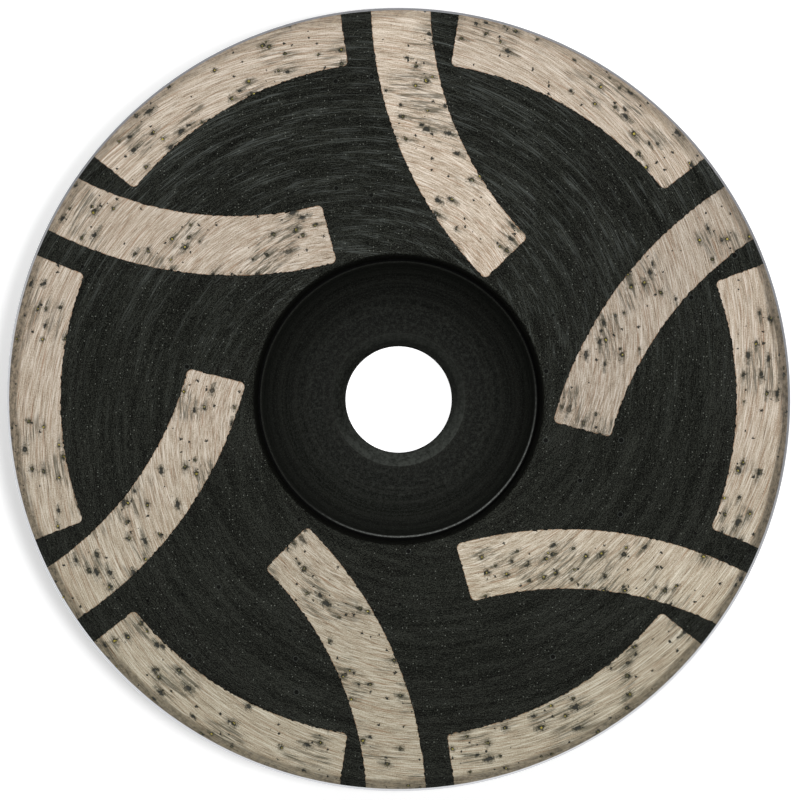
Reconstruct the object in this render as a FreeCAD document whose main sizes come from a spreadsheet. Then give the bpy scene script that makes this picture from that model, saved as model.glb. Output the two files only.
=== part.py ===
import FreeCAD, Part
import Sketcher
import math
import os

# Resin cup wheel for stone: a turned steel body carries twelve diamond segments,
# and black resin is cast between them and ground flush with their faces.
# Millimetres and degrees. The origin is on the axis, in the hub's back face, and
# +Z points out of the grinding face. A rim segment is centred on +X.

SIZES = {
    # Steel body
    "wheel_diameter": 100.0,
    "rim_thickness": 4.0,
    "rim_edge_break": 0.3,
    "rim_back_chamfer": 1.0,
    "hub_diameter": 34.0,
    "hub_fillet": 6.0,
    "hub_chamfer": 1.0,
    # Threaded bore, at the crests of a 5/8-11 thread
    "bore_diameter": 13.86,
    "bore_length": 13.0,
    "bore_mouth_chamfer": 1.6,
    "bore_back_chamfer": 1.2,
    # Dish between the bore and the grinding face
    "dish_diameter": 34.9,
    "dish_depth": 7.0,
    "dish_wall_angle": 80.0,
    "dish_corner": 6.8,
    "lip_chamfer": 0.35,
    "lip_land": 0.15,
    # Abrasive ring: segments and resin
    "ring_step": 0.65,
    "ring_height": 6.0,
    "ring_bevel": 1.15,
    "well_draft": 3.4,
    "well_edge_break": 0.25,
    "segment_pairs": 6,
    "corner_round": 0.7,
    # Swirl segments, strips along arcs about a centre outside the wheel
    "swirl_arc_radius": 46.9,
    "swirl_width": 7.55,
    "swirl_well_gap": 0.95,
    "swirl_end_angle": 2.2,
    # Rim segments, arcs about the wheel's axis that stop short of the swirl segments
    "rim_segment_width": 6.62,
    "rim_swirl_gap": 1.63,
    # The segments are set by hand, so each stands a little off the even pattern:
    # a turn about the wheel's axis in degrees,
    "rim_turn_1": -0.6,
    "rim_turn_2": 0.1,
    "rim_turn_3": 0.4,
    "rim_turn_4": 0.1,
    "rim_turn_5": 0.35,
    "rim_turn_6": 0.05,
    "swirl_turn_1": -0.8,
    "swirl_turn_2": 0.1,
    "swirl_turn_3": 0.2,
    "swirl_turn_4": 0.4,
    "swirl_turn_5": 0.05,
    "swirl_turn_6": -0.4,
    # a lean that takes the swirl away from the well or nearer to it,
    "swirl_lean_1": 0.4,
    "swirl_lean_2": -0.7,
    "swirl_lean_3": -0.4,
    "swirl_lean_4": 0.05,
    "swirl_lean_5": 0.35,
    "swirl_lean_6": 0.35,
    # and a slide along its arc, in degrees
    "swirl_slide_1": -0.4,
    "swirl_slide_2": 0.45,
    "swirl_slide_3": 0.35,
    "swirl_slide_4": 0.05,
    "swirl_slide_5": 0.25,
    "swirl_slide_6": -0.6,
}

PLATE_TOP = "Sizes.bore_length + Sizes.dish_depth"
FACE = PLATE_TOP + " + Sizes.ring_height"
RIM_UNDERSIDE = PLATE_TOP + " - Sizes.rim_thickness"
WHEEL_RADIUS = "Sizes.wheel_diameter / 2"
HUB_RADIUS = "Sizes.hub_diameter / 2"
BORE_RADIUS = "Sizes.bore_diameter / 2"
DISH_RADIUS = "Sizes.dish_diameter / 2"
DISH_FLOOR_RADIUS = DISH_RADIUS + " - Sizes.dish_depth / tan(Sizes.dish_wall_angle * 1 deg)"
RING_RADIUS = WHEEL_RADIUS + " - Sizes.ring_step"
WELL_FOOT_RADIUS = DISH_RADIUS + " + Sizes.lip_chamfer + Sizes.lip_land"
WELL_FACE_RADIUS = WELL_FOOT_RADIUS + " + Sizes.ring_height * tan(Sizes.well_draft * 1 deg)"
PITCH = "360 deg / Sizes.segment_pairs"
SWIRL_MIDDLE = "Sizes.swirl_arc_radius"
SWIRL_OUTER_SIDE = SWIRL_MIDDLE + " + Sizes.swirl_width / 2"
SWIRL_INNER_SIDE = SWIRL_MIDDLE + " - Sizes.swirl_width / 2"
SWIRL_DISTANCE = f"{WELL_FACE_RADIUS} + Sizes.swirl_well_gap + {SWIRL_OUTER_SIDE}"


def angle_at_axis(distance, reach, arc):
    """Angle at the wheel's axis from a swirl's centre to where its arc is that far out."""
    squares = f"({distance})^2 + ({reach})^2 - ({arc})^2"
    return f"acos(({squares}) / (2 * ({distance}) * ({reach})))"


def swirl_bearing(distance):
    """Where a swirl's centre lies, for its arc to meet the rim midway between two rim segments."""
    return f"{PITCH} / 2 - {angle_at_axis(distance, RING_RADIUS, SWIRL_MIDDLE)}"


RIM_SEGMENT_INNER = RING_RADIUS + " - Sizes.rim_segment_width"
SWIRL_SIDE_ANGLE = angle_at_axis(SWIRL_DISTANCE, RIM_SEGMENT_INNER, SWIRL_INNER_SIDE)
RIM_GAP_ANGLE = f"Sizes.rim_swirl_gap / ({RIM_SEGMENT_INNER}) * 1 rad"
RIM_SEGMENT_HALF_SPAN = f"{swirl_bearing(SWIRL_DISTANCE)} + {SWIRL_SIDE_ANGLE} - {RIM_GAP_ANGLE}"
HAND_SET = 6

# Sketch references: the origin, and the points of a line or an arc
ORIGIN = (-1, 1)
START, END, CENTRE = range(1, 4)
NEAR = 0.001

doc = FreeCAD.newDocument("resin_cup_wheel")
sheet = doc.addObject("Spreadsheet::Sheet", "Sizes")


def fill_sheet():
    for row, (name, value) in enumerate(SIZES.items(), start=1):
        sheet.set(f"A{row}", name)
        sheet.set(f"B{row}", str(value))
        sheet.setAlias(f"B{row}", name)
    doc.recompute()


def size(expression):
    """The value of an expression in the sheet's names, in millimetres."""
    value = sheet.evalExpression(expression)
    return float(getattr(value, "Value", value))


def new_body(label):
    body = doc.addObject("PartDesign::Body", label)
    body.Label = label
    return body


def origin_feature(body, role):
    return next(item for item in body.Origin.OriginFeatures if item.Role == role)


def new_sketch(body, name, role, height=None):
    """A sketch on one of the body's own origin planes, raised to a height if one is given."""
    sketch = body.newObject("Sketcher::SketchObject", name)
    sketch.AttachmentSupport = [(origin_feature(body, role), "")]
    sketch.MapMode = "FlatFace"
    if height is not None:
        sketch.setExpression("AttachmentOffset.Base.z", height)
    doc.recompute()
    return sketch


def bind(sketch, kind, places, expression, value):
    """Adds a dimension to a sketch, tied to an expression in the sheet's names."""
    index = sketch.addConstraint(Sketcher.Constraint(kind, *places, value))
    sketch.setExpression(f"Constraints[{index}]", expression)


def join(sketch, kind, *places):
    sketch.addConstraint(Sketcher.Constraint(kind, *places))


def draw_profile(sketch, corners):
    """A closed outline of lines. Each corner has its place and the radius of its round, if any."""
    points = [FreeCAD.Vector(size(across), size(up), 0) for across, up, _ in corners]
    radii = [size(radius) if radius else 0.0 for _, _, radius in corners]
    count = len(points)
    ways = [(points[(i + 1) % count] - points[i]).normalize() for i in range(count)]
    turns = [ways[i - 1].getAngle(ways[i]) for i in range(count)]
    trims = [radius * math.tan(turn / 2) for radius, turn in zip(radii, turns)]
    for i in range(count):
        following = (i + 1) % count
        start = points[i] + ways[i] * trims[i]
        end = points[following] - ways[i] * trims[following]
        sketch.addGeometry(Part.LineSegment(start, end), False)
    for i, (across, up, radius) in enumerate(corners):
        before = (i - 1) % count
        if radius:
            corner = sketch.addGeometry(Part.Point(points[i]), True)
            join(sketch, "PointOnObject", corner, START, before)
            join(sketch, "PointOnObject", corner, START, i)
            draw_round(sketch, before, i, points[i] - ways[before] * trims[i], ways, radii[i])
            bind(sketch, "Radius", (sketch.GeometryCount - 1,), radius, radii[i])
        else:
            corner = i
            join(sketch, "Coincident", before, END, i, START)
        bind(sketch, "DistanceX", (*ORIGIN, corner, START), across, points[i].x)
        bind(sketch, "DistanceY", (*ORIGIN, corner, START), up, points[i].y)


def draw_round(sketch, before, after, begin, ways, radius):
    """An arc that leaves one line at its trimmed end and meets the next at its start."""
    left = ways[before].x * ways[after].y > ways[before].y * ways[after].x
    side = 1 if left else -1
    normal = FreeCAD.Vector(-ways[before].y, ways[before].x, 0) * side
    centre = begin + normal * radius
    turn = ways[before].getAngle(ways[after])
    entry = math.atan2(-normal.y, -normal.x)
    sweep = (entry, entry + turn) if left else (entry - turn, entry)
    circle = Part.Circle(centre, FreeCAD.Vector(0, 0, 1), radius)
    arc = sketch.addGeometry(Part.ArcOfCircle(circle, *sweep), False)
    first, last = (START, END) if left else (END, START)
    join(sketch, "Tangent", before, END, arc, first)
    join(sketch, "Tangent", arc, last, after, START)


def revolve(body, sketch, name):
    turned = body.newObject("PartDesign::Revolution", name)
    turned.Profile = sketch
    turned.ReferenceAxis = (sketch, ["V_Axis"])
    turned.Angle = 360
    doc.recompute()
    return turned


def ring_edges(feature, radius, height):
    """Names of the round edges about the axis at that radius and height."""
    wanted_radius = size(radius)
    wanted_height = size(height)
    names = []
    for number, edge in enumerate(feature.Shape.Edges, start=1):
        curve = edge.Curve
        if not isinstance(curve, Part.Circle):
            continue
        on_axis = math.hypot(curve.Center.x, curve.Center.y) < NEAR
        same_size = abs(curve.Radius - wanted_radius) < NEAR
        if on_axis and same_size and abs(curve.Center.z - wanted_height) < NEAR:
            names.append(f"Edge{number}")
    return names


def dress(body, base, kind, name, edges, expression):
    """A fillet or a chamfer on named edges of the last feature."""
    if not edges:
        raise RuntimeError(f"{name}: the edge was not found")
    feature = body.newObject(f"PartDesign::{kind}", name)
    feature.Base = (base, edges)
    feature.setExpression("Radius" if kind == "Fillet" else "Size", expression)
    doc.recompute()
    return feature


def make_cup_body():
    """Hub, dish and backing plate, turned from one piece of steel."""
    body = new_body("cup_body")
    sketch = new_sketch(body, "BodyProfile", "XZ_Plane")
    corners = [
        (BORE_RADIUS, "0", None),
        (HUB_RADIUS, "0", None),
        (HUB_RADIUS, RIM_UNDERSIDE, "Sizes.hub_fillet"),
        (WHEEL_RADIUS + " - Sizes.rim_back_chamfer", RIM_UNDERSIDE, None),
        (WHEEL_RADIUS, RIM_UNDERSIDE + " + Sizes.rim_back_chamfer", None),
        (WHEEL_RADIUS, PLATE_TOP, None),
        (DISH_RADIUS, PLATE_TOP, None),
        (DISH_FLOOR_RADIUS, "Sizes.bore_length", "Sizes.dish_corner"),
        (BORE_RADIUS, "Sizes.bore_length", None),
    ]
    draw_profile(sketch, corners)
    part = revolve(body, sketch, "TurnedBlank")
    chamfers = [
        ("LipChamfer", (DISH_RADIUS, PLATE_TOP), "Sizes.lip_chamfer"),
        ("RimEdgeBreak", (WHEEL_RADIUS, PLATE_TOP), "Sizes.rim_edge_break"),
        ("HubChamfer", (HUB_RADIUS, "0"), "Sizes.hub_chamfer"),
        ("BoreMouth", (BORE_RADIUS, "Sizes.bore_length"), "Sizes.bore_mouth_chamfer"),
        ("BoreBack", (BORE_RADIUS, "0"), "Sizes.bore_back_chamfer"),
    ]
    for name, place, expression in chamfers:
        part = dress(body, part, "Chamfer", name, ring_edges(part, *place), expression)
    return body


def polar(radius, angle, centre=FreeCAD.Vector(0, 0, 0)):
    return centre + FreeCAD.Vector(radius * math.cos(angle), radius * math.sin(angle), 0)


def draw_line(sketch, start, end, construction=False):
    return sketch.addGeometry(Part.LineSegment(start, end), construction)


def draw_arc(sketch, centre, radius, start, end):
    circle = Part.Circle(centre, FreeCAD.Vector(0, 0, 1), radius)
    return sketch.addGeometry(Part.ArcOfCircle(circle, start, end), False)


def draw_rim_outline(sketch, number):
    """A rim segment's outline, centred on +X: two arcs about the axis and two radial ends.
    Every rim segment has the same one, whatever its number."""
    axis = FreeCAD.Vector(0, 0, 0)
    outer = size(RING_RADIUS)
    inner = size(RIM_SEGMENT_INNER)
    half_span = math.radians(size(RIM_SEGMENT_HALF_SPAN))
    rim_arc = draw_arc(sketch, axis, outer, -half_span, half_span)
    inner_arc = draw_arc(sketch, axis, inner, -half_span, half_span)
    join(sketch, "Coincident", rim_arc, CENTRE, *ORIGIN)
    join(sketch, "Coincident", inner_arc, CENTRE, *ORIGIN)
    bind(sketch, "Radius", (rim_arc,), RING_RADIUS, outer)
    bind(sketch, "Radius", (inner_arc,), RIM_SEGMENT_INNER, inner)
    for sign, at in ((-1, START), (1, END)):
        angle = sign * half_span
        line = draw_line(sketch, polar(inner, angle), polar(outer, angle))
        join(sketch, "Coincident", line, START, inner_arc, at)
        join(sketch, "Coincident", line, END, rim_arc, at)
        join(sketch, "PointOnObject", *ORIGIN, line)
        bind(sketch, "Angle", (line,), f"{sign} * ({RIM_SEGMENT_HALF_SPAN})", angle)


def draw_swirl_outline(sketch, number):
    """A swirl segment's outline: a strip along an arc that meets the rim midway between
    two rim segments, and stops in a straight end beside the well."""
    axis = FreeCAD.Vector(0, 0, 0)
    rim = size(RING_RADIUS)
    arc_distance = f"{SWIRL_DISTANCE} + Sizes.swirl_lean_{number}"
    end_angle_set = f"(Sizes.swirl_end_angle + Sizes.swirl_slide_{number}) * 1 deg"
    distance = size(arc_distance)
    side_radii = (size(SWIRL_OUTER_SIDE), size(SWIRL_INNER_SIDE))
    half_pitch = math.radians(size(PITCH) / 2)
    bearing = math.radians(size(swirl_bearing(arc_distance)))
    centre = polar(distance, bearing)
    inward = math.pi + bearing
    slant = math.radians(size(end_angle_set))
    end_angle = inward - slant

    def meets_rim(radius):
        at_centre = math.acos((distance**2 + radius**2 - rim**2) / (2 * distance * radius))
        return inward - at_centre

    spoke = draw_line(sketch, axis, centre, construction=True)
    midway = draw_line(sketch, axis, polar(rim, half_pitch), construction=True)
    join(sketch, "Coincident", spoke, START, *ORIGIN)
    join(sketch, "Coincident", midway, START, *ORIGIN)
    bind(sketch, "Distance", (spoke,), arc_distance, distance)
    bind(sketch, "Distance", (midway,), RING_RADIUS, rim)
    bind(sketch, "Angle", (midway,), PITCH + " / 2", half_pitch)
    bind(sketch, "Distance", (spoke, END, midway, END), SWIRL_MIDDLE, size(SWIRL_MIDDLE))

    sides = []
    for radius, expression in zip(side_radii, (SWIRL_OUTER_SIDE, SWIRL_INNER_SIDE)):
        side = draw_arc(sketch, centre, radius, meets_rim(radius), end_angle)
        join(sketch, "Coincident", side, CENTRE, spoke, END)
        bind(sketch, "Radius", (side,), expression, radius)
        sides.append(side)
    outer_side, inner_side = sides
    ends = [polar(radius, end_angle, centre) for radius in side_radii]
    end_line = draw_line(sketch, ends[1], ends[0])
    join(sketch, "Coincident", end_line, START, inner_side, END)
    join(sketch, "Coincident", end_line, END, outer_side, END)
    join(sketch, "PointOnObject", spoke, END, end_line)
    bind(sketch, "Angle", (end_line, START, spoke, END), end_angle_set, slant)
    meets = [polar(radius, meets_rim(radius), centre) for radius in side_radii]
    rim_angles = [math.atan2(point.y, point.x) for point in reversed(meets)]
    rim_arc = draw_arc(sketch, axis, rim, *rim_angles)
    join(sketch, "Coincident", rim_arc, CENTRE, *ORIGIN)
    join(sketch, "Coincident", rim_arc, START, inner_side, START)
    join(sketch, "Coincident", rim_arc, END, outer_side, START)
    bind(sketch, "Radius", (rim_arc,), RING_RADIUS, rim)


def upright_edges_inside(feature, radius):
    """Names of the upright edges that stand nearer the axis than that radius."""
    limit = size(radius) - NEAR
    names = []
    for number, edge in enumerate(feature.Shape.Edges, start=1):
        low, high = (vertex.Point for vertex in edge.Vertexes[:2])
        upright = math.hypot(high.x - low.x, high.y - low.y) < NEAR
        if upright and math.hypot(low.x, low.y) < limit:
            names.append(f"Edge{number}")
    return names


def make_segment(kind, draw_outline, index):
    """A pressed segment: the outline raised to the face, corners rounded, rim bevelled."""
    number = index % HAND_SET + 1
    body = new_body(f"{kind}_segment_{index + 1}")
    sketch = new_sketch(body, "Outline", "XY_Plane", PLATE_TOP)
    draw_outline(sketch, number)
    doc.recompute()
    pad = body.newObject("PartDesign::Pad", "Pressing")
    pad.Profile = sketch
    pad.setExpression("Length", "Sizes.ring_height")
    doc.recompute()
    corners = upright_edges_inside(pad, RING_RADIUS)
    rounded = dress(body, pad, "Fillet", "CornerRound", corners, "Sizes.corner_round")
    rim_edge = ring_edges(rounded, RING_RADIUS, FACE)
    dress(body, rounded, "Chamfer", "RimBevel", rim_edge, "Sizes.ring_bevel")
    body.Placement.Rotation = FreeCAD.Rotation(FreeCAD.Vector(0, 0, 1), 0)
    turn = f"{PITCH} * {index} + Sizes.{kind}_turn_{number} * 1 deg"
    body.setExpression("Placement.Rotation.Angle", turn)
    return body


def make_resin_blank():
    """The resin ring before the segments are taken out of it."""
    body = new_body("resin_blank")
    sketch = new_sketch(body, "ResinProfile", "XZ_Plane")
    corners = [
        (WELL_FOOT_RADIUS, PLATE_TOP, None),
        (RING_RADIUS, PLATE_TOP, None),
        (RING_RADIUS, FACE, None),
        (WELL_FACE_RADIUS, FACE, None),
    ]
    draw_profile(sketch, corners)
    ring = revolve(body, sketch, "CastRing")
    rim_edge = ring_edges(ring, RING_RADIUS, FACE)
    bevelled = dress(body, ring, "Chamfer", "RimBevel", rim_edge, "Sizes.ring_bevel")
    well_edge = ring_edges(bevelled, WELL_FACE_RADIUS, FACE)
    dress(body, bevelled, "Chamfer", "WellEdgeBreak", well_edge, "Sizes.well_edge_break")
    return body


def make_resin_fill(segments):
    """Resin cast round the segments: the ring less every segment."""
    bed = doc.addObject("Part::Compound", "SegmentBed")
    bed.Links = segments
    resin = doc.addObject("Part::Cut", "resin_fill")
    resin.Label = "resin_fill"
    resin.Base = make_resin_blank()
    resin.Tool = bed
    doc.recompute()
    return resin


def check(pieces):
    for item in doc.Objects:
        if "Invalid" in item.State or "Error" in item.State:
            raise RuntimeError(f"{item.Name} failed: {item.State}")
    for piece in pieces:
        shape = piece.Shape
        if shape.isNull() or not shape.isValid() or len(shape.Solids) != 1:
            raise RuntimeError(f"{piece.Label} is not one valid solid")


def check_ring(resin, segments):
    """The resin and the segments together fill the cast ring, with nothing shared."""
    filled = resin.Shape.Volume + sum(segment.Shape.Volume for segment in segments)
    whole = resin.Base.Shape.Volume
    if abs(filled - whole) > 0.0001 * whole:
        raise RuntimeError(f"the ring holds {whole:.2f} mm3 and its pieces {filled:.2f} mm3")


def main():
    fill_sheet()
    cup_body = make_cup_body()
    pairs = int(size("Sizes.segment_pairs"))
    segments = []
    for kind, draw_outline in (("rim", draw_rim_outline), ("swirl", draw_swirl_outline)):
        for index in range(pairs):
            segments.append(make_segment(kind, draw_outline, index))
    doc.recompute()
    resin = make_resin_fill(segments)
    pieces = [cup_body, resin, *segments]
    check(pieces)
    check_ring(resin, segments)
    os.makedirs("parts", exist_ok=True)
    for piece in pieces:
        piece.Shape.exportStep(f"parts/{piece.Label}.step")
        print(f"{piece.Label}: {piece.Shape.Volume:.2f} mm3")


main()
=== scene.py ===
# %% [markdown]
# # A resin cup wheel, seen from straight above
# The wheel is a turned steel body with twelve diamond segments on its face and black resin
# cast between them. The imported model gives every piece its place. This script dresses it:
# a finer turned body with a real thread, segments with worn faces and grit in small
# pockets, and finishes for steel, resin and bond. Sizes below are in millimetres, as on a
# drawing, and become metres where a mesh is made.

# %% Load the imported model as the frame
import math

import bmesh
import bpy
import numpy as np
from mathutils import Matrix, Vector, geometry, noise


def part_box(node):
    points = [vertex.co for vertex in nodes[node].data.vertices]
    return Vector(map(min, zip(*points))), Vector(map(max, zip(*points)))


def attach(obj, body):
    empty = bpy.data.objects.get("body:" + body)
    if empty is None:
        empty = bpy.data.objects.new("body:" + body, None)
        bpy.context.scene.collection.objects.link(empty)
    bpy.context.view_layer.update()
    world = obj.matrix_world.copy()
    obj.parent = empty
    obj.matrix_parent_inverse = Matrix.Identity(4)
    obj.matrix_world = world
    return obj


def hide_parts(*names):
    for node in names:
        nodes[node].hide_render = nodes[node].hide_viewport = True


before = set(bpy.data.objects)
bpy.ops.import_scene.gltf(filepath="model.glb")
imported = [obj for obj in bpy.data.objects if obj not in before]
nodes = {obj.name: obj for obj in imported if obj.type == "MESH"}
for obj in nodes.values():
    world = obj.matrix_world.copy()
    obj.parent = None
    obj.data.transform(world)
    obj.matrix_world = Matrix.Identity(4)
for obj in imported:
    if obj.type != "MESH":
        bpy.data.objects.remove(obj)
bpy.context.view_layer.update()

scene = bpy.context.scene
MM = 0.001
print("nodes:", len(nodes))

# %% [markdown]
# ## Levels and radii that several pieces share
# Everything on this wheel is turned or ground about one axis, so a few heights and radii
# place all of it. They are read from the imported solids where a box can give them.

# %% Shared levels and radii
PLATE_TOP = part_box("cup_body")[1].z / MM
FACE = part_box("resin_fill")[1].z / MM
WHEEL_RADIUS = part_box("cup_body")[1].x / MM
RING_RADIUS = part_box("rim_segment_1")[1].x / MM
BEVEL = 1.15
BEVEL_START = RING_RADIUS - BEVEL
print("plate top", PLATE_TOP, "face", FACE, "ring radius", round(RING_RADIUS, 3))

# %% [markdown]
# ## A short way to write node trees
# The same rules have to hold in two places: where Geometry Nodes sink a pocket round a
# grain of diamond, and where the material darkens it. Both kinds of tree have the same
# nodes for maths, noise and random cells, so one function can build a rule in either tree.
# `Net` adds nodes, and `Number` lets a formula be written with + - * / like any other.

# %% Node trees written as formulas
class Number:
    """A number that a node tree works out at each point of a surface."""

    def __init__(self, net, socket):
        self.net = net
        self.socket = socket

    def __add__(self, other):
        return self.net.math("ADD", self, other)

    def __sub__(self, other):
        return self.net.math("SUBTRACT", self, other)

    def __rsub__(self, other):
        return self.net.math("SUBTRACT", other, self)

    def __mul__(self, other):
        return self.net.math("MULTIPLY", self, other)

    def __truediv__(self, other):
        return self.net.math("DIVIDE", self, other)

    def __rtruediv__(self, other):
        return self.net.math("DIVIDE", other, self)

    def __lt__(self, other):
        return self.net.math("LESS_THAN", self, other)

    def __gt__(self, other):
        return self.net.math("GREATER_THAN", self, other)


class Net:
    """Adds nodes to one tree, of either kind."""

    def __init__(self, tree):
        self.tree = tree

    def node(self, kind, **settings):
        made = self.tree.nodes.new(kind)
        for name, value in settings.items():
            setattr(made, name, value)
        return made

    def feed(self, socket, value):
        if isinstance(value, Number):
            value = value.socket
        if isinstance(value, bpy.types.NodeSocket):
            self.tree.links.new(value, socket)
        else:
            socket.default_value = value

    def math(self, operation, *values, clamp=False):
        made = self.node("ShaderNodeMath", operation=operation, use_clamp=clamp)
        for socket, value in zip(made.inputs, values):
            self.feed(socket, value)
        return Number(self, made.outputs[0])

    def split(self, vector):
        made = self.node("ShaderNodeSeparateXYZ")
        self.feed(made.inputs[0], vector)
        return [Number(self, socket) for socket in made.outputs]

    def join(self, x, y, z=0.0):
        made = self.node("ShaderNodeCombineXYZ")
        for socket, value in zip(made.inputs, (x, y, z)):
            self.feed(socket, value)
        return made.outputs[0]

    def times(self, vector, factor):
        made = self.node("ShaderNodeVectorMath", operation="SCALE")
        self.feed(made.inputs[0], vector)
        self.feed(made.inputs["Scale"], factor)
        return made.outputs[0]

    def length(self, x, y):
        return self.math("SQRT", x * x + y * y)

    def object_place(self):
        """In a material: the object's own coordinates in millimetres, as a vector."""
        return self.times(self.node("ShaderNodeTexCoord").outputs["Object"], 1 / MM)

    def point_place(self):
        """In Geometry Nodes: x, y and z of each point in millimetres."""
        return self.split(self.times(self.node("GeometryNodeInputPosition").outputs[0], 1 / MM))

    def move(self, geometry, selection=True, **to):
        """Moves the selected points to a Position, or by an Offset, in millimetres."""
        made = self.node("GeometryNodeSetPosition")
        self.feed(made.inputs["Geometry"], geometry)
        self.feed(made.inputs["Selection"], selection)
        for label, vector in to.items():
            self.feed(made.inputs[label], self.times(vector, MM))
        return made.outputs[0]

    def blend(self, value, low, high, at_low=0.0, at_high=1.0, smooth=True):
        """Goes from at_low to at_high as value goes from low to high."""
        made = self.node("ShaderNodeMapRange")
        made.interpolation_type = "SMOOTHSTEP" if smooth else "LINEAR"
        for socket, number in zip(made.inputs, (value, low, high, at_low, at_high)):
            self.feed(socket, number)
        return Number(self, made.outputs[0])

    def noise(self, vector, scale=1.0, detail=2.0, roughness=0.5, dimensions="3D"):
        made = self.node("ShaderNodeTexNoise", noise_dimensions=dimensions)
        self.feed(made.inputs["Vector"], vector)
        made.inputs["Scale"].default_value = scale
        made.inputs["Detail"].default_value = detail
        made.inputs["Roughness"].default_value = roughness
        return Number(self, made.outputs[0])

    def cells(self, x, y, size):
        """Scattered centres about size apart: three random numbers, and x and y of the centre."""
        made = self.node("ShaderNodeTexVoronoi", voronoi_dimensions="2D")
        self.feed(made.inputs["Vector"], self.join(x / size, y / size))
        made.inputs["Scale"].default_value = 1.0
        centre_x, centre_y, _ = self.split(made.outputs["Position"])
        return self.split(made.outputs["Color"]), centre_x * size, centre_y * size

    def colour(self, factor, first, second, mode="MIX"):
        made = self.node("ShaderNodeMix", data_type="RGBA", blend_type=mode)
        self.feed(made.inputs[0], factor)
        self.feed(made.inputs[6], first)
        self.feed(made.inputs[7], second)
        return made.outputs[2]

    def ramp(self, factor, stops):
        made = self.node("ShaderNodeValToRGB")
        self.feed(made.inputs[0], factor)
        elements = made.color_ramp.elements
        while len(elements) < len(stops):
            elements.new(1.0)
        for element, (place, colour) in zip(elements, stops):
            element.position = place
            element.color = colour
        return made.outputs[0]


def paint(red, green, blue):
    """A colour as a screen shows it, 0 to 255, in the linear values that a shader takes."""

    def linear(value):
        value /= 255
        return value / 12.92 if value <= 0.04045 else ((value + 0.055) / 1.055) ** 2.4

    return (linear(red), linear(green), linear(blue), 1.0)


# %% [markdown]
# Every tree ends alike: what it made becomes real mesh and takes its material. Then the
# result is kept as a plain mesh and joins the body that it rides on, in place of the packed
# solid that it dresses.

# %% Meshes and trees made into finished pieces
def new_object(name, mesh):
    made = bpy.data.objects.new(name, mesh)
    scene.collection.objects.link(made)
    return made


def geometry_tree(name, inputs):
    """A Geometry Nodes tree with a geometry going through it and named numbers beside it."""
    tree = bpy.data.node_groups.new(name, "GeometryNodeTree")
    tree.interface.new_socket("Geometry", in_out="INPUT", socket_type="NodeSocketGeometry")
    tree.interface.new_socket("Geometry", in_out="OUTPUT", socket_type="NodeSocketGeometry")
    for label, kind in inputs:
        tree.interface.new_socket(label, in_out="INPUT", socket_type=kind)
    net = Net(tree)
    entry = net.node("NodeGroupInput")
    result = net.node("NodeGroupOutput")
    return tree, net, entry, result


def finish_tree(net, geometry, material, result):
    """Ends a tree: instances become real mesh, and the mesh gets its material."""
    realize = net.node("GeometryNodeRealizeInstances")
    coat = net.node("GeometryNodeSetMaterial")
    net.feed(realize.inputs[0], geometry)
    net.feed(coat.inputs["Geometry"], realize.outputs[0])
    net.feed(coat.inputs["Material"], material)
    net.feed(result.inputs[0], coat.outputs[0])


def apply_tree(target, tree, values):
    """Runs the tree on the object and keeps the result as its plain mesh."""
    modifier = target.modifiers.new(tree.name, "NODES")
    modifier.node_group = tree
    sockets = {s.name: s.identifier for s in tree.interface.items_tree if s.in_out == "INPUT"}
    for label, value in values.items():
        modifier[sockets[label]] = value
    bpy.context.view_layer.update()
    evaluated = target.evaluated_get(bpy.context.evaluated_depsgraph_get())
    mesh = bpy.data.meshes.new_from_object(evaluated)
    mesh.name = target.name
    target.modifiers.clear()
    target.data = mesh


def triangles(target):
    return sum(len(face.vertices) - 2 for face in target.data.polygons)


def finish_piece(piece, slot, *replaced):
    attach(piece, "root")
    if replaced:
        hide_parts(*replaced)
    print(f"{piece.name}: {triangles(piece)} triangles, slot {slot}")


# %% [markdown]
# ## The ground face: scratches, grit and pockets
# The whole face was ground in one go while the wheel turned, so fine scratches run over
# bond and resin alike. They are long arcs that climb slowly outwards as they go round.
# Their pattern is a noise stretched along the arc: the angle round the axis, less a share
# of the radius, is the same all along one scratch. Its sine and cosine feed the noise, so
# the pattern has no seam where the angle jumps.

# %% Scratch coordinates
SCRATCH_CLIMB = 6.0


def scratches(net, x, y, width, length, detail=2.0, roughness=0.5, climb=SCRATCH_CLIMB):
    """Noise from 0 to 1 whose grain is width across the scratches and length along them."""
    reach = net.length(x, y)
    phase = net.math("ARCTAN2", y, x) - reach / climb
    around = net.math("COSINE", phase) * (climb / width)
    across = net.math("SINE", phase) * (climb / width)
    vector = net.join(around, across, reach / (length * climb / 40))
    return net.noise(vector, detail=detail, roughness=roughness)


# %% [markdown]
# The grinding reached the face and, more roughly, the bevel. The walls below them keep the
# plain skin of the mould, so scratches fade out under the bevel.

# %% Where the face was ground
# The bevel lies below the face, so from FULL_REACH outwards the mask reaches down by the
# bevel's height. Up to WELL_REACH it doesn't, because the well's wall was never ground.
WELL_REACH = 22.0
FULL_REACH = 40.0


def ground(net, reach, z):
    """1 on the face and the bevel, 0 on the walls below them."""
    level = z + net.blend(reach, WELL_REACH, FULL_REACH, 0.0, BEVEL)
    return net.blend(level, FACE - 0.25, FACE - 0.05)


# %% [markdown]
# Diamond grains lie scattered in the bond. Each stands in a little pocket where the bond
# has worn back, and drags a grey tail behind it, down the scratch. A texture of random
# cells gives one centre to each patch of the face, and the cell's random colour says whether
# a grain is there, how big it is and how long its tail. The same cells place the pockets,
# the crystals and the stains, so they always meet.

# %% One rule for grains, pockets and tails
GRIT_SPACING = 2.15
GRIT_RADII = (0.12, 0.27)
TAIL_LENGTHS = (0.5, 2.6)
HELD_SHARE = 0.75


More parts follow.
